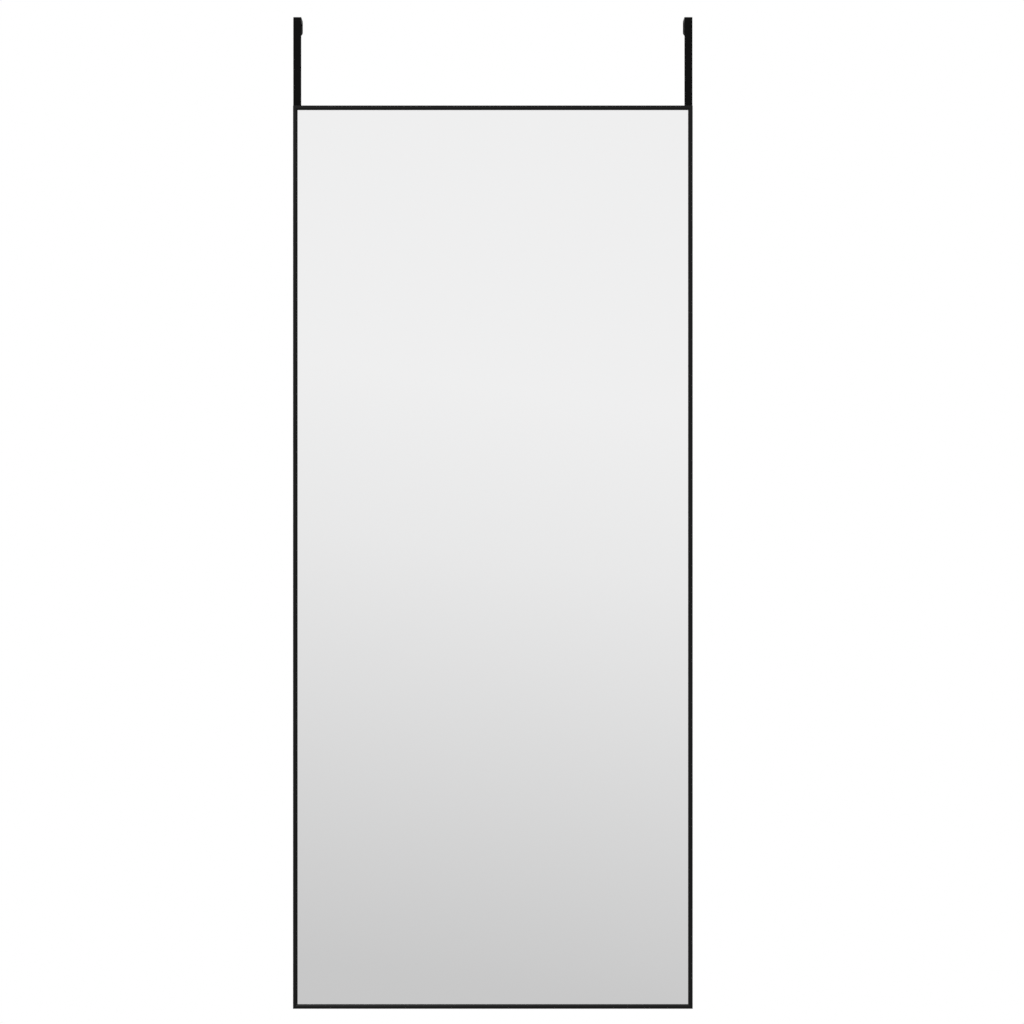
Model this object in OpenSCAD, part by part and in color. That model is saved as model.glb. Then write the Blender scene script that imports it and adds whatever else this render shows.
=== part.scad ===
// Over-the-door mirror: a thin black frame round a mirror glass, hung from two adjustable strap hooks.
// Millimetres. +X is to the right as seen from the front, +Y goes back towards the door, +Z is up.
// Origin: the top front edge of the door, midway between the hooks. The front pads and the bumpers
// touch the door's front face at y = 0, and the top pads rest on its top edge at z = 0.

/* [Frame] */
// Outer width of the frame
frame_w = 400; // [250:1:800]
// Outer height of the frame
frame_h = 904; // [400:1:1800]
// Width of the front lip that shows round the glass
lip_w = 4.6; // [3:0.1:6.5]
// Thickness of the front lip
lip_t = 1.2; // [0.8:0.1:3]
// Width of the slope on the lip's inner side, which leads down to the glass
lip_slope_w = 2.0; // [0.5:0.1:2.4]
// Thickness of the lip at the slope's foot
lip_foot_t = 0.6; // [0.3:0.1:0.8]
// Thickness of the profile's outer wall and of its channel's inner wall
wall_t = 1.1; // [0.8:0.1:1.5]
// Thickness of the web between the glass pocket and the rear channel
web_t = 1.0; // [0.6:0.1:3]
// Radius on the profile's long outer edges
edge_r = 0.4; // [0.2:0.05:0.5]

/* [Rear channel] */
// Width of the channel inside the profile
channel_w = 5.4; // [5:0.1:12]
// Depth of the channel inside the profile
channel_h = 2.6; // [2.4:0.1:6]
// Gap between a screw and the channel's slot on each side
slot_clearance = 0.3; // [0.1:0.05:0.6]
// Thickness of the lips beside the slot
channel_lip_t = 1.0; // [0.6:0.1:2]
// Play on each side of what lies in the channel, the corner keys and the channel nuts
channel_side_play = 0.2; // [0.1:0.05:0.4]

/* [Glass and backing] */
// Thickness of the mirror glass
glass_t = 3.0; // [2:0.5:6]
// Thickness of the silver and its paint on the glass's back
coat_t = 0.1; // [0.05:0.01:0.3]
// Thickness of the foam sheet between the glass and the board
foam_t = 1.0; // [0.5:0.5:3]
// Thickness of the backing board
board_t = 3.0; // [2:0.5:6]
// Free depth left between the board and the web
pocket_play = 0.1; // [0.05:0.05:0.5]
// Gap all round between the glass's edge and the profile
edge_gap = 1.0; // [0.5:0.1:2]
// Length of each setting block under the glass
block_len = 30; // [10:1:60]
// Distance from the frame's side to the middle of a setting block
block_inset = 100; // [60:1:120]

/* [Corner keys] */
// Length of each leg of a corner key, from the frame's outer side
key_leg = 34; // [30:1:60]
// Thickness of a corner key
key_t = 1.6; // [1:0.1:2]
// Distance from the frame's outer side to a key's first screw
key_screw_first = 14; // [12:1:16]
// Distance between the two screws on one leg
key_screw_pitch = 13; // [8:1:14]
// Length of the grub screws that stands in the slot
grub_show = 0.4; // [0.1:0.1:0.6]
// Across-flats size of the grub screws' socket
grub_socket = 1.5; // [1.3:0.1:2]
// Depth of the grub screws' socket
grub_socket_depth = 1.4; // [0.5:0.1:2]

/* [Screw thread] */
// Thread diameter of every screw on the mirror
thread_d = 3.0; // [2.5:0.1:3.2]
// Radial gap between a screw and its threaded hole
thread_play = 0.05; // [0.02:0.01:0.1]

/* [Hooks] */
// Width of the hook's steel strip
strap_w = 8.0; // [6:0.1:16]
// Thickness of the hook's steel strip
strap_t = 2.0; // [1.5:0.1:3]
// Inside radius of the hook's two bends
bend_r = 2.0; // [1:0.5:4]
// Free gap between a hook's front and rear pads, for the door
door_gap = 40; // [30:1:60]
// Height of the hook's top above the frame's top
hook_height = 90; // [70:1:200]
// Length of strap below its lower screw
strap_end = 12; // [6:1:100]
// Drop of the rear leaf, from the hook's top to its round end
leaf_drop = 15.5; // [13:0.5:60]
// Play between the strap and the frame's back
slide_play = 0.1; // [0.05:0.05:0.3]

/* [Hook pads] */
// Thickness of the front pads, which also clear the screw heads
front_pad_t = 3.0; // [2.5:0.5:6]
// Length of the front pads
front_pad_len = 60; // [20:1:100]
// Distance from the front bend down to the front pads
front_pad_drop = 4; // [1:1:10]
// Thickness of the top pads
top_pad_t = 2.0; // [1:0.5:4]
// Margin between a top pad's ends and the door's faces
top_pad_margin = 2.0; // [2:0.5:8]
// Thickness of the rear pads
rear_pad_t = 2.0; // [1:0.5:4]
// Distance from the rear bend down to the rear pads
rear_pad_drop = 1; // [0.5:0.5:1.5]
// Margin of strap that shows on each side of a pad
pad_margin = 0.4; // [0.2:0.1:1]

/* [Hook screws] */
// Diameter of the pan head
head_d = 5.6; // [5:0.1:6.4]
// Height of the pan head
head_h = 1.9; // [1.4:0.1:2.2]
// Radius on the pan head's shoulder
head_shoulder_r = 1.1; // [0.4:0.1:1.3]
// How far a screw ends short of its nut's front face
screw_short = 0.2; // [0:0.1:1]
// Radial gap between a screw and its hole in the strap
hole_clearance = 0.2; // [0.1:0.05:0.5]
// Width across the arms of the cross recess
recess_span = 3.0; // [2:0.1:3.6]
// Width of one arm of the cross recess
recess_arm = 0.7; // [0.5:0.05:0.9]
// Depth of the cross recess
recess_depth = 1.2; // [0.6:0.1:1.4]
// How far a hook can slide up before its upper nut meets the corner key
slide_up = 8; // [2:1:40]
// Distance between a hook's two screws
screw_pitch = 40; // [20:1:100]
// Length of a channel nut
nut_len = 12; // [8:1:16]
// Thickness of a channel nut
nut_t = 2.0; // [1.5:0.1:2.2]
// Play between a channel nut and the lips that it pulls against
nut_play = 0.1; // [0.05:0.05:0.2]

/* [Bumpers] */
// Length of each foam bumper
bumper_len = 30; // [10:1:60]
// Margin of frame that shows on each side of a bumper
bumper_margin = 0.3; // [0.1:0.1:1]
// Distance from the frame's side to a bumper's near end
bumper_inset = 40; // [5:1:60]
// Radius on a bumper's upright edges
bumper_r = 1.0; // [0.5:0.1:1.5]

/* [Hidden] */
$fn = 48;

// Colours
frame_black = [0.03, 0.03, 0.032];
hook_black = [0.02, 0.02, 0.022];
mirror_grey = [0.86, 0.87, 0.88];
coat_grey = [0.45, 0.46, 0.47];
sheet_white = [0.9, 0.9, 0.88];
board_brown = [0.42, 0.3, 0.2];
rubber_black = [0.05, 0.05, 0.05];
pad_black = [0.09, 0.09, 0.09];
screw_black = [0.05, 0.05, 0.052];
zinc_grey = [0.62, 0.63, 0.65];

// The profile's section: u runs inwards from the frame's outer side, v back from its front face
profile_w = channel_w + 2 * wall_t;
channel_u = profile_w / 2;
slot_w = thread_d + 2 * slot_clearance;
pocket_v = lip_t;
pack_t = glass_t + coat_t + foam_t + board_t;
web_v = pocket_v + pack_t + pocket_play;
channel_v = web_v + web_t;
channel_lip_v = channel_v + channel_h;
runner_w = channel_w - 2 * channel_side_play; // width of what lies in the channel
profile_d = channel_lip_v + channel_lip_t;

// Planes from back to front: the door's face, the strap, then the frame
strap_back_y = -front_pad_t;
strap_front_y = strap_back_y - strap_t;
frame_back_y = strap_front_y - slide_play;
frame_front_y = frame_back_y - profile_d;

// Heights, from the door's top edge down
hook_top_z = top_pad_t + strap_t;
frame_top_z = hook_top_z - hook_height;
frame_bottom_z = frame_top_z - frame_h;
frame_mid_z = (frame_top_z + frame_bottom_z) / 2;

// The glass and what lies behind it
glass_inset = wall_t + edge_gap;
glass_w = frame_w - 2 * glass_inset;
glass_h = frame_h - 2 * glass_inset;
coat_v = pocket_v + glass_t;
foam_v = coat_v + coat_t;
board_v = foam_v + foam_t;

// The hooks stand over the middle of the stiles' channels
hook_x = frame_w / 2 - channel_u;
rear_pad_y = door_gap;
leaf_inner_y = rear_pad_y + rear_pad_t;
bend_z = top_pad_t - bend_r;
front_bend_y = strap_back_y + bend_r;
rear_bend_y = leaf_inner_y - bend_r;
leaf_end_z = hook_top_z - leaf_drop;
pad_w = strap_w - 2 * pad_margin;
top_pad_len = door_gap - 2 * top_pad_margin;
bumper_w = profile_w - 2 * bumper_margin;

// The hooks' screws go through the strap and the slot into nuts behind the channel's lips
nut_back_y = frame_back_y - channel_lip_t - nut_play;
screw_len = strap_back_y - nut_back_y + nut_t - screw_short;
strap_hole_d = thread_d + 2 * hole_clearance;
thread_hole_d = thread_d + 2 * thread_play;
upper_screw_z = frame_top_z - key_leg - slide_up - nut_len / 2;
screw_heights = [for (i = [0, 1]) upper_screw_z - i * screw_pitch];
strap_end_z = screw_heights[1] - strap_end;

// The corner keys lie against the lips of the rear channel
key_start = wall_t + channel_side_play;
key_v = channel_lip_v - key_t;
key_screw_places = [for (i = [0, 1]) key_screw_first + i * key_screw_pitch];
grub_len = channel_h + grub_show;

cut = 1; // how far a cutting shape runs past what it cuts
round_fn = 32; // facets on small fasteners

// ---- Frame profile ----

// What rounding a square corner at the origin takes away
module corner_waste(r) {
    difference() {
        translate([-cut, -cut])
            square(cut + r);
        translate([r, r])
            circle(r);
    }
}

// The section of the frame's extrusion, in u and v
module profile_section() {
    difference() {
        union() {
            square([wall_t, profile_d]);
            polygon([
                [0, 0],
                [lip_w - lip_slope_w, 0],
                [lip_w, lip_t - lip_foot_t],
                [lip_w, lip_t],
                [0, lip_t]
            ]);
            translate([0, web_v])
                square([profile_w, profile_d - web_v]);
        }
        translate([wall_t, channel_v])
            square([channel_w, channel_h]);
        translate([channel_u - slot_w / 2, channel_v])
            square([slot_w, profile_d]);
        corner_waste(edge_r);
        translate([0, profile_d])
            mirror([0, 1])
                corner_waste(edge_r);
        translate([profile_w, profile_d])
            rotate(180)
                corner_waste(edge_r);
    }
}

// A mitred bar of the profile: it runs along X, its outer side is at z = 0, and its front face at y = 0
module mitred_bar(length) {
    intersection() {
        rotate([0, -90, 0])
            linear_extrude(length, center = true)
                profile_section();
        translate([0, profile_d + cut, 0])
            rotate([90, 0, 0])
                linear_extrude(profile_d + 2 * cut)
                    polygon([
                        [-length / 2, 0],
                        [length / 2, 0],
                        [length / 2 - profile_w, profile_w],
                        [-length / 2 + profile_w, profile_w]
                    ]);
    }
}

module rail_bottom() {
    color(frame_black)
        translate([0, frame_front_y, frame_bottom_z])
            mitred_bar(frame_w);
}

module rail_top() {
    color(frame_black)
        translate([0, frame_front_y, frame_top_z])
            rotate([0, 180, 0])
                mitred_bar(frame_w);
}

module stile_left() {
    color(frame_black)
        translate([-frame_w / 2, frame_front_y, frame_mid_z])
            rotate([0, 90, 0])
                mitred_bar(frame_h);
}

module stile_right() {
    color(frame_black)
        translate([frame_w / 2, frame_front_y, frame_mid_z])
            rotate([0, -90, 0])
                mitred_bar(frame_h);
}

// ---- Glass and backing ----

// A sheet as large as the glass, with its front at depth v behind the frame's front
module pane(v, thickness) {
    translate([-glass_w / 2, frame_front_y + v, frame_mid_z - glass_h / 2])
        cube([glass_w, thickness, glass_h]);
}

module mirror_glass() {
    color(mirror_grey)
        pane(pocket_v, glass_t);
}

module silver_coat() {
    color(coat_grey)
        pane(coat_v, coat_t);
}

module foam_sheet() {
    color(sheet_white)
        pane(foam_v, foam_t);
}

module backing_board() {
    color(board_brown)
        pane(board_v, board_t);
}

// Two blocks on the bottom rail's inside, which carry the glass and its backing
module setting_blocks() {
    color(rubber_black)
        for (side = [-1, 1])
            translate([
                side * (frame_w / 2 - block_inset) - block_len / 2,
                frame_front_y + pocket_v,
                frame_bottom_z + wall_t
            ])
                cube([block_len, pack_t, edge_gap]);
}

// ---- Corner keys ----

// Carries its children from a corner at the origin, with legs along +X and +Z, to one corner of the frame
module at_corner(right, top) {
    translate([(right - 0.5) * frame_w, frame_front_y, top > 0 ? frame_top_z : frame_bottom_z])
        mirror([right, 0, 0])
            mirror([0, 0, top])
                children();
}

// The places of a key's four screws, as distances along X and Z from the corner
module at_key_screws() {
    for (reach = key_screw_places) {
        translate([reach, 0, channel_u])
            children();
        translate([channel_u, 0, reach])
            children();
    }
}

// A straight round bar along +Y, from depth v behind the frame's front
module bar_back(v, d, length) {
    translate([0, v + length, 0])
        rotate([90, 0, 0])
            cylinder(d = d, h = length, $fn = round_fn);
}

module corner_key(right, top) {
    leg = key_leg - key_start;
    color(zinc_grey)
        at_corner(right, top)
            difference() {
                translate([key_start, key_v, key_start])
                    union() {
                        cube([leg, key_t, runner_w]);
                        cube([runner_w, key_t, leg]);
                    }
                at_key_screws()
                    bar_back(key_v - cut, thread_hole_d, key_t + 2 * cut);
            }
}

// Grub screws that stand on the web and push the key against the channel's lips
module key_screws(right, top) {
    socket_r = grub_socket / 2 / cos(30);
    color(zinc_grey)
        at_corner(right, top)
            at_key_screws()
                difference() {
                    bar_back(channel_v, thread_d, grub_len);
                    translate([0, channel_v + grub_len + cut, 0])
                        rotate([90, 0, 0])
                            cylinder(r = socket_r, h = grub_socket_depth + cut, $fn = 6);
                }
}

// ---- Hooks ----

// One bend of the strip: a quarter ring about X in the YZ plane, in the quadrant that turn selects
module bend(y, turn) {
    translate([0, y, bend_z])
        rotate([turn, 0, 0])
            rotate([0, 90, 0])
                rotate([0, 0, 90])
                    difference() {
                        intersection() {
                            cylinder(r = bend_r + strap_t, h = strap_w, center = true);
                            translate([0, 0, -strap_w])
                                cube([2 * (bend_r + strap_t), 2 * (bend_r + strap_t), 2 * strap_w]);
                        }
                        cylinder(r = bend_r, h = strap_w + 2 * cut, center = true);
                    }
}

// A leg of the strip: from z_high down to a full round end at z_low, with its front face at y
module leg(y, z_high, z_low, thickness, width) {
    translate([0, y, 0]) {
        translate([-width / 2, 0, z_low + width / 2])
            cube([width, thickness, z_high - z_low - width / 2]);
        translate([0, 0, z_low + width / 2])
            bar_back(0, width, thickness);
    }
}

module hook(x) {
    color(hook_black)
        translate([x, 0, 0])
            difference() {
                union() {
                    leg(strap_front_y, bend_z, strap_end_z, strap_t, strap_w);
                    leg(leaf_inner_y, bend_z, leaf_end_z, strap_t, strap_w);
                    translate([-strap_w / 2, front_bend_y, top_pad_t])
                        cube([strap_w, rear_bend_y - front_bend_y, strap_t]);
                    bend(front_bend_y, 90);
                    bend(rear_bend_y, 0);
                }
                for (z = screw_heights)
                    translate([0, 0, z])
                        bar_back(strap_front_y - cut, strap_hole_d, strap_t + 2 * cut);
            }
}

// ---- Pads and bumpers ----

module front_pad(x) {
    color(pad_black)
        translate([x - pad_w / 2, strap_back_y, bend_z - front_pad_drop - front_pad_len])
            cube([pad_w, front_pad_t, front_pad_len]);
}

module top_pad(x) {
    color(pad_black)
        translate([x - pad_w / 2, top_pad_margin, 0])
            cube([pad_w, top_pad_len, top_pad_t]);
}

// The rear pad follows the leaf's round end
module rear_pad(x) {
    color(pad_black)
        translate([x, 0, 0])
            leg(rear_pad_y, bend_z - rear_pad_drop, leaf_end_z + pad_margin, rear_pad_t, pad_w);
}

// A foam block on the back of the bottom rail, as thick as the gap to the door
module bumper(side) {
    color(pad_black)
        translate([
            side * (frame_w / 2 - bumper_inset - bumper_len / 2),
            frame_back_y,
            frame_bottom_z + channel_u
        ])
            rotate([-90, 0, 0])
                linear_extrude(-frame_back_y)
                    union() {
                        square([bumper_len - 2 * bumper_r, bumper_w], center = true);
                        square([bumper_len, bumper_w - 2 * bumper_r], center = true);
                        for (i = [-1, 1], j = [-1, 1])
                            translate([i * (bumper_len / 2 - bumper_r), j * (bumper_w / 2 - bumper_r)])
                                circle(bumper_r);
                    }
}

// ---- Hook screws and channel nuts ----

// Half the outline of a pan head with its seat on y = 0 and a rounded shoulder
module pan_head_outline() {
    square([head_d / 2 - head_shoulder_r, head_h]);
    square([head_d / 2, head_h - head_shoulder_r]);
    intersection() {
        translate([head_d / 2 - head_shoulder_r, head_h - head_shoulder_r])
            circle(head_shoulder_r);
        square([head_d / 2, head_h]);
    }
}

// A pan-head screw along Y: its seat is at y = 0, its head behind and its shank in front
module pan_screw() {
    difference() {
        union() {
            rotate([-90, 0, 0])
                rotate_extrude($fn = round_fn)
                    pan_head_outline();
            bar_back(-screw_len, thread_d, screw_len + head_h / 2);
        }
        for (turn = [0, 90])
            rotate([0, turn, 0])
                translate([-recess_span / 2, head_h - recess_depth, -recess_arm / 2])
                    cube([recess_span, recess_depth + cut, recess_arm]);
    }
}

module hook_screws(x) {
    color(screw_black)
        for (z = screw_heights)
            translate([x, strap_back_y, z])
                pan_screw();
}

module channel_nuts(x) {
    color(zinc_grey)
        for (z = screw_heights)
            translate([x, nut_back_y - nut_t, z])
                difference() {
                    translate([-runner_w / 2, 0, -nut_len / 2])
                        cube([runner_w, nut_t, nut_len]);
                    bar_back(-cut, thread_hole_d, nut_t + 2 * cut);
                }
}

// ---- Nodes ----

stile_left();
stile_right();
rail_top();
rail_bottom();
mirror_glass();
silver_coat();
foam_sheet();
backing_board();
setting_blocks();
corner_key(0, 1);  // corner_key_top_left
corner_key(1, 1);  // corner_key_top_right
corner_key(0, 0);  // corner_key_bottom_left
corner_key(1, 0);  // corner_key_bottom_right
key_screws(0, 1);  // key_screws_top_left
key_screws(1, 1);  // key_screws_top_right
key_screws(0, 0);  // key_screws_bottom_left
key_screws(1, 0);  // key_screws_bottom_right
bumper(-1);  // bumper_left
bumper(1);  // bumper_right
hook(-hook_x);  // hook_left
hook(hook_x);  // hook_right
front_pad(-hook_x);  // front_pad_left
front_pad(hook_x);  // front_pad_right
top_pad(-hook_x);  // top_pad_left
top_pad(hook_x);  // top_pad_right
rear_pad(-hook_x);  // rear_pad_left
rear_pad(hook_x);  // rear_pad_right
hook_screws(-hook_x);  // hook_screws_left
hook_screws(hook_x);  // hook_screws_right
channel_nuts(-hook_x);  // channel_nuts_left
channel_nuts(hook_x);  // channel_nuts_right
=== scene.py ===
import math

import bmesh
import bpy
from mathutils import Matrix, Vector


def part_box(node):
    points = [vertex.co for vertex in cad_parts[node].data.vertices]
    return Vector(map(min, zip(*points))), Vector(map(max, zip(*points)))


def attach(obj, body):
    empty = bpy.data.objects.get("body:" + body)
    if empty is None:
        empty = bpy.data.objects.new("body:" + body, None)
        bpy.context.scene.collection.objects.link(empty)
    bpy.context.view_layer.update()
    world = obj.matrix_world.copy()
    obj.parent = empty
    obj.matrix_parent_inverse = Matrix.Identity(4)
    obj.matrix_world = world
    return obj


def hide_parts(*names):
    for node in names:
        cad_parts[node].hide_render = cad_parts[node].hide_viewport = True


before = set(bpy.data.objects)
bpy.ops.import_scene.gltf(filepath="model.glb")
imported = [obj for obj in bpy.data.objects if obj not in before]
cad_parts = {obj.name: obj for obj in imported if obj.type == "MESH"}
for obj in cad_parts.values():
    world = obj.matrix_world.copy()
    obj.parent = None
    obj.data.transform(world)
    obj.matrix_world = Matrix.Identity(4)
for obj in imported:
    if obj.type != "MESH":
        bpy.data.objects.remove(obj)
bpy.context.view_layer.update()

mm = 0.001  # the scene is in metres
weldDistance = 0.001 * mm  # points closer than this become one
nearby = 0.01 * mm  # heights closer than this count as the same
xAxis, yAxis, zAxis = range(3)
sides = ("left", "right")


def boxMesh(low, high):
    bm = bmesh.new()
    bmesh.ops.create_cube(bm, size=1)
    bmesh.ops.scale(bm, vec=high - low, verts=bm.verts)
    bmesh.ops.translate(bm, vec=(low + high) / 2, verts=bm.verts)
    return bm


def weld(bm):
    bmesh.ops.remove_doubles(bm, verts=bm.verts, dist=weldDistance)


def bevelEdges(bm, edges, offset, segments):
    bmesh.ops.bevel(
        bm, geom=edges, offset=offset, offset_type="OFFSET", segments=segments,
        profile=0.5, affect="EDGES", material=-1, clamp_overlap=True,
    )


def roundEnd(bm, edges, width, steps):
    # turns two corners into one full round; the points that meet in its middle become one
    bevelEdges(bm, edges, width / 2, steps)
    weld(bm)


def edgesAlong(bm, axis, leastShare=0.999):
    # an edge counts when this share of its length runs along the axis
    found = []
    for edge in bm.edges:
        run = edge.verts[1].co - edge.verts[0].co
        if abs(run[axis]) > leastShare * run.length:
            found.append(edge)
    return found


def levelEdges(bm, axis, z):
    # the edges along a level axis that lie at a height
    return [edge for edge in edgesAlong(bm, axis) if abs(edge.verts[0].co.z - z) < nearby]


def sharpEdges(bm, leastAngle=60):
    return [
        edge for edge in bm.edges
        if len(edge.link_faces) == 2 and edge.calc_face_angle() > math.radians(leastAngle)
    ]


def addPiece(name, bm, materials, sharpAngle=40):
    # makes the bmesh an object at the origin, smooth except over its sharp edges
    mesh = bpy.data.meshes.new(name)
    bm.to_mesh(mesh)
    bm.free()
    for material in materials:
        mesh.materials.append(material)
    mesh.shade_smooth()
    mesh.set_sharp_from_angle(angle=math.radians(sharpAngle))
    piece = bpy.data.objects.new(name, mesh)
    bpy.context.scene.collection.objects.link(piece)
    return piece


def keepFlats(piece):
    # large faces stay flat in the light, and their rounded rims take the whole turn
    flats = piece.modifiers.new("keepFlats", "WEIGHTED_NORMAL")
    flats.keep_sharp = True
    flats.weight = 100


def dress(piece, node, body):
    # the piece stands for a CAD node
    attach(piece, body)
    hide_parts(node)


def grey(tone):
    return (tone, tone, tone, 1)


def addNode(tree, kind, settings=None, inputs=None):
    # an input takes another node's output or a plain value
    made = tree.nodes.new(kind)
    for key, value in (settings or {}).items():
        setattr(made, key, value)
    for key, value in (inputs or {}).items():
        if isinstance(value, bpy.types.NodeSocket):
            tree.links.new(value, made.inputs[key])
        else:
            made.inputs[key].default_value = value
    return made


def addRamp(tree, value, stops):
    # each stop is a value and the tone or colour that it gives
    made = addNode(tree, "ShaderNodeValToRGB", inputs={"Fac": value})
    elements = made.color_ramp.elements
    while len(elements) < len(stops):
        elements.new(0.5)
    for element, (place, colour) in zip(elements, stops):
        element.position = place
        element.color = (*colour, 1) if isinstance(colour, tuple) else grey(colour)
    return made.outputs["Color"]


def addRange(tree, value, ends, results, interpolation="SMOOTHSTEP"):
    # goes from the first result to the second while the value goes from end to end
    settings = {"interpolation_type": interpolation}
    inputs = {
        "Value": value,
        "From Min": ends[0],
        "From Max": ends[1],
        "To Min": results[0],
        "To Max": results[1],
    }
    return addNode(tree, "ShaderNodeMapRange", settings, inputs).outputs["Result"]


def addMix(tree, factor, a, b, blend="MIX"):
    # a mix node's colours are its inputs 6 and 7 and its output 2
    settings = {"data_type": "RGBA", "blend_type": blend}
    return addNode(tree, "ShaderNodeMix", settings, {0: factor, 6: a, 7: b}).outputs[2]


class Finish:
    # a material on Object coordinates, and the few kinds of nodes that these finishes need
    def __init__(self, name):
        self.material = bpy.data.materials.new(name)
        self.material.use_nodes = True
        self.tree = self.material.node_tree
        self.shader = self.tree.nodes["Principled BSDF"]
        self.place = self.node("ShaderNodeTexCoord").outputs["Object"]

    def setSocket(self, socket, value):
        # one value all over the surface
        self.shader.inputs[socket].default_value = value

    def drive(self, socket, output):
        # a value that varies over the surface
        self.tree.links.new(output, self.shader.inputs[socket])

    def node(self, kind, settings=None, inputs=None):
        return addNode(self.tree, kind, settings, inputs)

    def stretched(self, stretch, turn=(0, 0, 0)):
        # a pattern drawn out along each axis, in a space that is turned first
        inputs = {"Vector": self.place, "Scale": stretch, "Rotation": turn}
        return self.node("ShaderNodeMapping", {"vector_type": "TEXTURE"}, inputs).outputs[0]

    def noise(self, scale, detail=2, roughness=0.5, place=None):
        inputs = {"Vector": place or self.place, "Scale": scale, "Detail": detail, "Roughness": roughness}
        return self.node("ShaderNodeTexNoise", inputs=inputs).outputs["Fac"]

    def cells(self, scale, place=None):
        # how far a point is from its cell's seed
        inputs = {"Vector": place or self.place, "Scale": scale}
        return self.node("ShaderNodeTexVoronoi", {"feature": "F1"}, inputs).outputs["Distance"]

    def ribs(self, pitch, direction):
        # sine bands: a wave texture runs through 20 radians for each unit of its scale
        settings = {"wave_type": "BANDS", "bands_direction": direction}
        inputs = {"Vector": self.place, "Scale": 2 * math.pi / (20 * pitch)}
        return self.node("ShaderNodeTexWave", settings, inputs).outputs["Fac"]

    def calc(self, operation, *values):
        return self.node("ShaderNodeMath", {"operation": operation}, dict(enumerate(values))).outputs[0]

    def ramp(self, value, stops):
        return addRamp(self.tree, value, stops)

    def between(self, value, tones, ends=(0.3, 0.7)):
        # from one tone to the other; a noise keeps mostly to the middle of its range, so these ends suit it
        return self.ramp(value, list(zip(ends, tones)))

    def mix(self, factor, a, b):
        return addMix(self.tree, factor, a, b)

    def bumps(self, *layers):
        # each layer is a height and its depth in metres
        normal = None
        for height, depth in layers:
            inputs = {"Height": height, "Distance": depth}
            if normal:
                inputs["Normal"] = normal
            normal = self.node("ShaderNodeBump", inputs=inputs).outputs["Normal"]
        self.drive("Normal", normal)


# the frame is a black anodised extrusion: fine die lines run along each bar, and the bars meet in mitres
profileFinish = {
    "tones": (0.0022, 0.0045),
    "cloudScale": 11,
    "roughness": (0.3, 0.44),
    "specular": 0.13,
    "lineSpacing": 0.35 * mm,
    "lineLength": 120 * mm,
    "lineDepth": 0.006 * mm,
    "grainSize": 0.12 * mm,
    "grainDepth": 0.002 * mm,
    "mitreReach": 0.07 * mm,  # the dark line of a mitre is 1.4 times as wide
    "mitreTone": 0.0008,
}


def profileMaterial(name, along):
    s = profileFinish
    f = Finish(name)
    stretch = [1, 1, 1]
    stretch[along] = s["lineLength"] / s["lineSpacing"]
    lines = f.noise(1 / s["lineSpacing"], detail=3, roughness=0.6, place=f.stretched(stretch))
    grain = f.noise(1 / s["grainSize"], detail=1)
    clouds = f.noise(s["cloudScale"], detail=4)

    # the mitres: where a point is as far from the frame's side as from its top or bottom
    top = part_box("rail_top")[1]
    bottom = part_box("rail_bottom")[0]
    split = f.node("ShaderNodeSeparateXYZ", inputs={0: f.place}).outputs
    fromSide = f.calc("SUBTRACT", top.x, f.calc("ABSOLUTE", split["X"]))
    fromTop = f.calc("SUBTRACT", top.z, split["Z"])
    fromBottom = f.calc("SUBTRACT", split["Z"], bottom.z)
    fromEnd = f.calc("MINIMUM", fromTop, fromBottom)
    offMitre = f.calc("ABSOLUTE", f.calc("SUBTRACT", fromSide, fromEnd))
    mitre = f.calc("LESS_THAN", offMitre, s["mitreReach"])

    f.drive("Base Color", f.mix(mitre, f.between(clouds, s["tones"]), grey(s["mitreTone"])))
    f.drive("Roughness", f.between(lines, s["roughness"]))
    f.setSocket("Specular IOR Level", s["specular"])
    f.bumps((lines, s["lineDepth"]), (grain, s["grainDepth"]))
    return f.material


# the hooks are powder coated: a low orange peel under a fine speckle of darker and lighter grains
hookFinish = {
    "tones": (0.0002, 0.0035),
    "toneEnds": (0.4, 0.65),
    "grainSize": 0.35 * mm,
    "roughness": (0.32, 0.5),
    "roughnessEnds": (0.1, 0.6),
    "specular": 0.05,
    "peelSize": 1.3 * mm,
    "peelDepth": 0.03 * mm,
    "speckleSize": 0.2 * mm,
    "speckleDepth": 0.004 * mm,
}


def hookMaterial():
    s = hookFinish
    f = Finish("hookPowderCoat")
    peel = f.noise(1 / s["peelSize"], detail=1, roughness=0.4)
    speckle = f.cells(1 / s["speckleSize"])
    grain = f.noise(1 / s["grainSize"], detail=2, roughness=0.7)
    f.drive("Base Color", f.between(grain, s["tones"], s["toneEnds"]))
    f.drive("Roughness", f.between(speckle, s["roughness"], s["roughnessEnds"]))
    f.setSocket("Specular IOR Level", s["specular"])
    f.bumps((peel, s["peelDepth"]), (speckle, s["speckleDepth"]))
    return f.material


# silvered glass seen from the front; its ground edges are matt green glass
glassFinish = {
    "silver": (0.863, 0.863, 0.865, 1),
    "edge": (0.16, 0.3, 0.25, 1),
    "edgeRoughness": 0.5,
    "squareness": 0.9,  # a face that looks along Y more squarely than this is silvered
    "haze": (0.0, 0.01),
    "hazeEnds": (0.5, 0.85),
    "hazeScale": 5,
}


def mirrorMaterial():
    s = glassFinish
    f = Finish("silveredGlass")
    normal = f.node("ShaderNodeNewGeometry").outputs["True Normal"]
    facing = f.node("ShaderNodeSeparateXYZ", inputs={0: normal}).outputs["Y"]
    face = f.calc("GREATER_THAN", f.calc("ABSOLUTE", facing), s["squareness"])
    f.drive("Base Color", f.mix(face, s["edge"], s["silver"]))
    f.drive("Metallic", face)
    haze = f.between(f.noise(s["hazeScale"], detail=5, roughness=0.6), s["haze"], s["hazeEnds"])
    f.drive("Roughness", f.mix(face, grey(s["edgeRoughness"]), haze))
    return f.material


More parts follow.
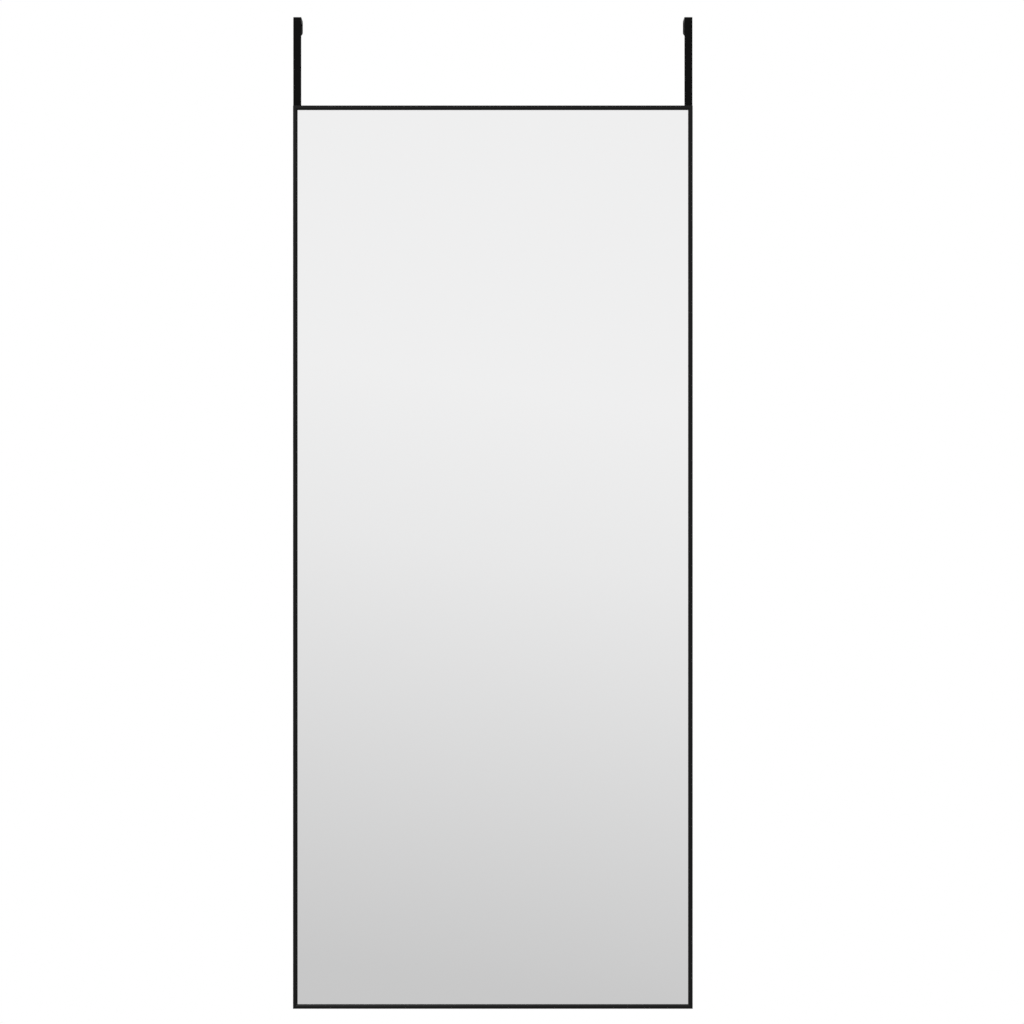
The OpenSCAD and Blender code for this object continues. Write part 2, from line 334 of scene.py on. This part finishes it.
# the grey-green paint that guards the silver from behind
backPaint = {
    "tones": ((0.1, 0.13, 0.12), (0.15, 0.18, 0.17)),
    "cloudScale": 60,
    "roughness": (0.5, 0.62),
    "grainScale": 900,
    "grainDepth": 0.01 * mm,
}


def backPaintMaterial():
    s = backPaint
    f = Finish("mirrorBackPaint")
    grain = f.noise(s["grainScale"], detail=3)
    f.drive("Base Color", f.between(f.noise(s["cloudScale"], detail=4), s["tones"]))
    f.drive("Roughness", f.between(grain, s["roughness"]))
    f.bumps((grain, s["grainDepth"]))
    return f.material


# the pale foam sheet between glass and board
packingFoam = {
    "tones": ((0.6, 0.6, 0.58), (0.78, 0.78, 0.76)),
    "roughness": (0.8, 0.62),
    "cellScale": 700,
    "cellEnds": (0.0, 0.6),
    "cellDepth": 0.12 * mm,
}


def packingFoamMaterial():
    s = packingFoam
    f = Finish("packingFoam")
    cells = f.cells(s["cellScale"])
    f.drive("Base Color", f.between(cells, s["tones"], s["cellEnds"]))
    f.drive("Roughness", f.between(cells, s["roughness"], s["cellEnds"]))
    f.bumps((cells, s["cellDepth"]))
    return f.material


# hardboard: pressed brown fibres with paler shives, and the print of the press's wire screen
boardFinish = {
    "fibreTones": [
        (0.36, (0.115, 0.066, 0.034)),
        (0.5, (0.168, 0.102, 0.056)),
        (0.64, (0.225, 0.145, 0.084)),
    ],
    "fibreSize": 2.2 * mm,
    "fibreDepth": 0.08 * mm,
    "blotchScale": 8,
    "blotchShare": 0.2,
    "shive": (0.3, 0.21, 0.13, 1),
    "shiveThickness": 0.5 * mm,
    "shiveStretch": 7,
    "shiveTurns": (0.2, 0.9, 1.55, 2.2, 2.8),  # the ways they lie, in radians
    "shiveStrength": (0.45, 0.0),  # in its middle and at its rim
    "shiveEnds": (0.06, 0.17),
    "shiveShare": 0.3,  # of the width of its cell
    "speck": (0.07, 0.038, 0.02, 1),
    "speckScale": 260,
    "speckStrength": (0.6, 0.0),
    "speckEnds": (0.05, 0.15),
    "roughness": (0.52, 0.72),
    "specular": 0.3,
    "screenPitch": 1.3 * mm,
    "screenDepth": 0.06 * mm,
}


def boardMaterial():
    s = boardFinish
    f = Finish("hardboard")
    fibre = f.noise(1 / s["fibreSize"], detail=8, roughness=0.72)
    blotch = f.noise(s["blotchScale"], detail=6, roughness=0.6)
    fibrePart = f.calc("MULTIPLY", fibre, 1 - s["blotchShare"])
    blotchPart = f.calc("MULTIPLY", blotch, s["blotchShare"])
    colour = f.ramp(f.calc("ADD", fibrePart, blotchPart), s["fibreTones"])
    for turn in s["shiveTurns"]:
        # short pale splinters that all lie one way
        lying = f.stretched((1, 1, s["shiveStretch"]), (0, turn, 0))
        splinter = f.cells(s["shiveShare"] / s["shiveThickness"], lying)
        colour = f.mix(f.between(splinter, s["shiveStrength"], s["shiveEnds"]), colour, s["shive"])
    specks = f.between(f.cells(s["speckScale"]), s["speckStrength"], s["speckEnds"])
    f.drive("Base Color", f.mix(specks, colour, s["speck"]))
    f.drive("Roughness", f.between(fibre, s["roughness"]))
    f.setSocket("Specular IOR Level", s["specular"])
    screen = f.calc("MULTIPLY", f.ribs(s["screenPitch"], "X"), f.ribs(s["screenPitch"], "Z"))
    f.bumps((screen, s["screenDepth"]), (fibre, s["fibreDepth"]))
    return f.material


# black closed-cell foam, with a soft swell under its cells
padFoamFinish = {
    "tones": (0.008, 0.014),
    "roughness": (0.95, 0.8),
    "specular": 0.2,
    "cellScale": 2200,
    "cellEnds": (0.0, 0.5),
    "cellDepth": 0.06 * mm,
    "swellScale": 160,
    "swellDepth": 0.15 * mm,
}


def padFoamMaterial():
    s = padFoamFinish
    f = Finish("padFoam")
    cells = f.cells(s["cellScale"])
    f.drive("Base Color", f.between(cells, s["tones"], s["cellEnds"]))
    f.drive("Roughness", f.between(cells, s["roughness"], s["cellEnds"]))
    f.setSocket("Specular IOR Level", s["specular"])
    f.bumps((cells, s["cellDepth"]), (f.noise(s["swellScale"]), s["swellDepth"]))
    return f.material


# the adhesive layer that holds the foam, seen as a thin grey line at its edge
padTapeFinish = {
    "tones": (0.2, 0.26),
    "cloudScale": 500,
    "roughness": (0.4, 0.55),
    "grainScale": 900,
}


def padTapeMaterial():
    s = padTapeFinish
    f = Finish("padTape")
    f.drive("Base Color", f.between(f.noise(s["cloudScale"]), s["tones"]))
    f.drive("Roughness", f.between(f.noise(s["grainScale"]), s["roughness"]))
    return f.material


# the black rubber blocks that the glass stands on
rubberFinish = {
    "tones": (0.008, 0.014),
    "roughness": (0.62, 0.75),
    "grainScale": 1800,
    "grainDepth": 0.02 * mm,
}


def rubberMaterial():
    s = rubberFinish
    f = Finish("blockRubber")
    grain = f.noise(s["grainScale"], detail=3)
    f.drive("Base Color", f.between(grain, s["tones"]))
    f.drive("Roughness", f.between(grain, s["roughness"]))
    f.bumps((grain, s["grainDepth"]))
    return f.material


# zinc plate, passivated: a faint blue and yellow cast over fine rolling lines
zincFinish = {
    "tones": ((0.46, 0.48, 0.52), (0.58, 0.57, 0.5)),
    "cloudScale": 160,
    "roughness": (0.26, 0.4),
    "lineScale": 4200,
    "lineStretch": 20,
    "lineDepth": 0.004 * mm,
}


def zincMaterial():
    s = zincFinish
    f = Finish("zincPlate")
    lines = f.noise(s["lineScale"], place=f.stretched((1, 1, s["lineStretch"])))
    f.drive("Base Color", f.between(f.noise(s["cloudScale"], detail=3), s["tones"]))
    f.drive("Roughness", f.between(lines, s["roughness"]))
    f.setSocket("Metallic", 1)
    f.bumps((lines, s["lineDepth"]))
    return f.material


# blackened steel, darker on the screws that hold the hooks
steelFinish = {
    "grubTones": (0.025, 0.06),
    "screwTones": (0.012, 0.026),
    "roughness": (0.28, 0.42),
    "metallic": 0.7,
    "grainScale": 2600,
    "grainDepth": 0.004 * mm,
}


def steelMaterial(name, tones):
    s = steelFinish
    f = Finish(name)
    grain = f.noise(s["grainScale"])
    f.drive("Base Color", f.between(grain, tones))
    f.drive("Roughness", f.between(grain, s["roughness"]))
    f.setSocket("Metallic", s["metallic"])
    f.bumps((grain, s["grainDepth"]))
    return f.material


stileBlack = profileMaterial("profileBlackUpright", zAxis)
railBlack = profileMaterial("profileBlackLevel", xAxis)
hookBlack = hookMaterial()
silveredGlass = mirrorMaterial()
padFoam = padFoamMaterial()
padTape = padTapeMaterial()
zincPlate = zincMaterial()
nodeFinishes = {
    "stile": stileBlack,
    "rail": railBlack,
    "silver_coat": backPaintMaterial(),
    "foam_sheet": packingFoamMaterial(),
    "backing_board": boardMaterial(),
    "setting_blocks": rubberMaterial(),
    "corner_key": zincPlate,
    "key_screws": steelMaterial("grubSteel", steelFinish["grubTones"]),
    "hook_screws": steelMaterial("screwBlack", steelFinish["screwTones"]),
    "channel_nuts": zincPlate,
}
print("materials made")


def finishNodes():
    # these CAD nodes keep their shape and only get their finish
    for nodeName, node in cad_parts.items():
        for start, finish in nodeFinishes.items():
            if nodeName.startswith(start):
                node.data.materials.clear()
                node.data.materials.append(finish)


finishNodes()
print("CAD nodes finished")


pane = {
    "arris": 0.4 * mm,  # the ground bevel on the glass's edges
    "sharpAngle": 20,
}


def makePane():
    bm = boxMesh(*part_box("mirror_glass"))
    bevelEdges(bm, bm.edges[:], pane["arris"], 1)
    piece = addPiece("mirrorPane", bm, [silveredGlass], pane["sharpAngle"])
    dress(piece, "mirror_glass", "mirror")


makePane()
print("glass made")


strip = {
    "insideRadius": 2 * mm,
    "bendSteps": 12,
    "endSteps": 16,
    "edgeRadius": 0.35 * mm,
    "edgeSteps": 3,
    "holeSize": 3.4 * mm,
    "holeSteps": 32,
    "drillLength": 20 * mm,
    "sharpAngle": 50,
}


def turnTip(bm, tip, middle):
    # carries the strip's end face through a quarter turn about a point
    made = bmesh.ops.spin(
        bm, geom=[tip, *tip.edges], cent=middle, axis=(1, 0, 0), angle=-math.radians(90),
        steps=strip["bendSteps"], use_merge=False,
    )
    return next(part for part in made["geom_last"] if isinstance(part, bmesh.types.BMFace))


def pushTip(bm, tip, run):
    # draws the strip's end face out along a straight
    made = bmesh.ops.extrude_face_region(bm, geom=[tip, *tip.edges])["geom"]
    bmesh.ops.translate(bm, vec=run, verts=[part for part in made if isinstance(part, bmesh.types.BMVert)])
    return next(part for part in made if isinstance(part, bmesh.types.BMFace))


def cutHoles(piece, places):
    # drills through the strip along Y
    bm = bmesh.new()
    radius = strip["holeSize"] / 2
    alongY = Matrix.Rotation(math.radians(90), 3, "X")
    for place in places:
        made = bmesh.ops.create_cone(
            bm, cap_ends=True, segments=strip["holeSteps"],
            radius1=radius, radius2=radius, depth=strip["drillLength"],
        )
        bmesh.ops.rotate(bm, verts=made["verts"], cent=(0, 0, 0), matrix=alongY)
        bmesh.ops.translate(bm, verts=made["verts"], vec=place)
    drill = addPiece("drill", bm, [hookBlack])
    cut = piece.modifiers.new("holes", "BOOLEAN")
    cut.object = drill
    cut.solver = "EXACT"
    graph = bpy.context.evaluated_depsgraph_get()
    drilled = bpy.data.meshes.new_from_object(piece.evaluated_get(graph))
    piece.modifiers.remove(cut)
    piece.data = drilled
    bpy.data.objects.remove(drill)


def makeHook(side):
    # the strip grows from its lower end: up the front, over the door, and down the back
    low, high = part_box("hook_" + side)
    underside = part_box("top_pad_" + side)[1].z
    thickness = high.z - underside
    width = high.x - low.x
    middleX = (low.x + high.x) / 2
    radius = strip["insideRadius"]
    bendZ = underside - radius
    frontBend = Vector((middleX, low.y + thickness + radius, bendZ))
    rearBend = Vector((middleX, high.y - thickness - radius, bendZ))
    padLow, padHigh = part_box("rear_pad_" + side)
    leafEnd = padLow.z - (width - (padHigh.x - padLow.x)) / 2  # as far past the pad's end as past its sides

    bm = boxMesh(low, Vector((high.x, low.y + thickness, bendZ)))
    tip = max(bm.faces, key=lambda face: face.calc_center_median().z)
    tip = turnTip(bm, tip, frontBend)
    tip = pushTip(bm, tip, rearBend - frontBend)
    tip = turnTip(bm, tip, rearBend)
    tip = pushTip(bm, tip, Vector((0, 0, leafEnd - bendZ)))
    weld(bm)

    # both ends are full rounds, and the long edges are eased
    for end in (low.z, leafEnd):
        roundEnd(bm, levelEdges(bm, yAxis, end), width, strip["endSteps"])
    bevelEdges(bm, sharpEdges(bm), strip["edgeRadius"], strip["edgeSteps"])
    bmesh.ops.recalc_face_normals(bm, faces=bm.faces)
    piece = addPiece("hookStrip_" + side, bm, [hookBlack], strip["sharpAngle"])

    screwLow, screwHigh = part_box("hook_screws_" + side)
    headRadius = (screwHigh.x - screwLow.x) / 2
    heights = (screwLow.z + headRadius, screwHigh.z - headRadius)
    cutHoles(piece, [Vector((middleX, low.y, z)) for z in heights])
    keepFlats(piece)
    dress(piece, "hook_" + side, side + "_hook")


for side in sides:
    makeHook(side)
print("hooks made")


foamPads = {
    "cornerRadius": 0.9 * mm,
    "cornerSteps": 6,
    "endSteps": 16,
    "rimRadius": 0.6 * mm,  # on the side that meets the door
    "rimSteps": 4,
    "tape": 0.2 * mm,  # thickness of the adhesive layer
    "sharpAngle": 50,
    "fill": 0.95,
}


def makeFoam(name, node, body, axis, outward, rounded=False):
    # a die-cut foam block: its free side looks along the axis, forward or back as outward is +1 or -1
    s = foamPads
    low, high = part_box(node)
    bm = boxMesh(low, high)
    if rounded:
        # the lower end is a full round, as the hook's leaf is
        bevelEdges(bm, levelEdges(bm, axis, high.z), s["cornerRadius"], s["cornerSteps"])
        roundEnd(bm, levelEdges(bm, axis, low.z), high.x - low.x, s["endSteps"])
    else:
        bevelEdges(bm, edgesAlong(bm, axis), s["cornerRadius"], s["cornerSteps"])
    free = max(bm.faces, key=lambda face: face.calc_center_median()[axis] * outward)
    bevelEdges(bm, free.edges[:], s["rimRadius"], s["rimSteps"])

    # the adhesive layer is a band round the glued side
    glued = low[axis] if outward > 0 else high[axis]
    tapePlace = Vector((0, 0, 0))
    tapePlace[axis] = glued + outward * s["tape"]
    tapeNormal = Vector((0, 0, 0))
    tapeNormal[axis] = 1
    whole = bm.verts[:] + bm.edges[:] + bm.faces[:]
    bmesh.ops.bisect_plane(bm, geom=whole, plane_co=tapePlace, plane_no=tapeNormal)
    for face in bm.faces:
        if (face.calc_center_median()[axis] - tapePlace[axis]) * outward < 0:
            face.material_index = 1
    bmesh.ops.recalc_face_normals(bm, faces=bm.faces)
    piece = addPiece(name, bm, [padFoam, padTape], s["sharpAngle"])
    keepFlats(piece)
    dress(piece, node, body)


for side in sides:
    hookBody = side + "_hook"
    makeFoam("frontPad_" + side, "front_pad_" + side, hookBody, yAxis, 1)
    makeFoam("topPad_" + side, "top_pad_" + side, hookBody, zAxis, -1)
    makeFoam("rearPad_" + side, "rear_pad_" + side, hookBody, yAxis, -1, rounded=True)
    makeFoam("bumperFoam_" + side, "bumper_" + side, "mirror", yAxis, 1)
print("pads made")


view = {
    "distance": 5.6925,  # from the frame's front
    "lens": 200,
    "sensor": 36,
    "shiftX": 0.0187,
    "shiftY": 0.04407,
}


def makeCamera():
    low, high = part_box("mirror_glass")
    data = bpy.data.cameras.new("photoCamera")
    data.lens = view["lens"]
    data.sensor_width = view["sensor"]
    data.shift_x = view["shiftX"]
    data.shift_y = view["shiftY"]
    camera = bpy.data.objects.new("photoCamera", data)
    bpy.context.scene.collection.objects.link(camera)
    camera.location = (0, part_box("rail_top")[0].y - view["distance"], (low.z + high.z) / 2)
    camera.rotation_euler = (math.radians(90), 0, 0)
    bpy.context.scene.camera = camera


makeCamera()


studio = {
    "ambient": 0.78,
    "horizonTilt": 0.15,  # the studio's horizon leans a little
    "reflected": [  # how steeply a ray climbs, and the tone that gloss and glass see there
        (-0.6, 0.46),
        (-0.36, 0.7),
        (-0.18, 0.92),
        (-0.1, 0.64),
        (-0.075, 0.67),
        (0.0, 0.935),
        (0.03, 1.0),
    ],
    "shadeEnds": (0.1, 0.6),  # how far to the right a ray points while what it sees grows dim
    "shadeTone": 0.75,
    "floorZ": -2.0,  # a door's height down from the hooks
    "floorFade": (0.9, 2.3),  # distances from the middle
    "floorSteps": 96,
    "floorTone": 0.82,
    "floorMottle": 1.02,  # how much paler its palest clouds are
    "floorCloudScale": 3,
    "floorRoughness": 0.7,
    "floorSpecular": 0.1,
    "keyPower": 40,
    "keySize": 1.1,
    "keyPlace": (-0.7, -4.2, 1.5),
    "keyTarget": (0, 0, -0.5),
}


def makeWorld():
    # the camera sees white; gloss and glass see a pale studio, dim just under its horizon and far below;
    # everything else gets even light
    s = studio
    world = bpy.data.worlds.new("studioWorld")
    bpy.context.scene.world = world
    world.use_nodes = True
    tree = world.node_tree
    ray = addNode(tree, "ShaderNodeTexCoord").outputs["Generated"]
    steepness = {0: ray, 1: (s["horizonTilt"], 0, 1)}
    climb = addNode(tree, "ShaderNodeVectorMath", {"operation": "DOT_PRODUCT"}, steepness).outputs["Value"]
    lowest = s["reflected"][0][0]
    highest = s["reflected"][-1][0]
    stops = [((slope - lowest) / (highest - lowest), tone) for slope, tone in s["reflected"]]
    spread = addRange(tree, climb, (lowest, highest), (0, 1), "LINEAR")
    fade = addRamp(tree, spread, stops)

    right = addNode(tree, "ShaderNodeSeparateXYZ", inputs={0: ray}).outputs["X"]
    shade = addRange(tree, right, s["shadeEnds"], (1, s["shadeTone"]))
    studioTone = addMix(tree, 1, fade, shade, "MULTIPLY")
    path = addNode(tree, "ShaderNodeLightPath").outputs
    lit = addMix(tree, path["Is Glossy Ray"], grey(s["ambient"]), studioTone)
    rays = {0: path["Is Camera Ray"], 1: path["Is Transmission Ray"]}
    seen = addNode(tree, "ShaderNodeMath", {"operation": "MAXIMUM"}, rays).outputs[0]
    final = addMix(tree, seen, lit, grey(1))
    tree.links.new(final, tree.nodes["Background"].inputs["Color"])


def makeFloor():
    # a pale round floor that fades out before its rim, so no edge shows; from below it is clear
    s = studio
    bm = bmesh.new()
    rim = s["floorFade"][1]
    made = bmesh.ops.create_circle(bm, cap_ends=True, segments=s["floorSteps"], radius=rim)
    bmesh.ops.translate(bm, verts=made["verts"], vec=(0, 0, s["floorZ"]))
    f = Finish("studioFloor")
    tone = s["floorTone"]
    clouds = f.noise(s["floorCloudScale"], detail=4)
    f.drive("Base Color", f.between(clouds, (tone, tone * s["floorMottle"])))
    f.setSocket("Roughness", s["floorRoughness"])
    f.setSocket("Specular IOR Level", s["floorSpecular"])
    level = f.node("ShaderNodeVectorMath", {"operation": "MULTIPLY"}, {0: f.place, 1: (1, 1, 0)}).outputs[0]
    reach = f.node("ShaderNodeVectorMath", {"operation": "LENGTH"}, {0: level}).outputs["Value"]
    fade = addRange(f.tree, reach, s["floorFade"], (1, 0))
    underside = f.node("ShaderNodeNewGeometry").outputs["Backfacing"]
    f.drive("Alpha", f.calc("MULTIPLY", fade, f.calc("SUBTRACT", 1, underside)))
    addPiece("studioFloor", bm, [f.material])


def makeKeyLight():
    s = studio
    data = bpy.data.lights.new("keyLight", "AREA")
    data.shape = "DISK"
    data.size = s["keySize"]
    data.energy = s["keyPower"]
    lamp = bpy.data.objects.new("keyLight", data)
    bpy.context.scene.collection.objects.link(lamp)
    lamp.location = s["keyPlace"]
    lamp.rotation_mode = "QUATERNION"
    lamp.rotation_quaternion = (Vector(s["keyTarget"]) - lamp.location).to_track_quat("-Z", "Y")


makeWorld()
makeFloor()
makeKeyLight()
bpy.context.scene.view_settings.view_transform = "Standard"
print("studio made")
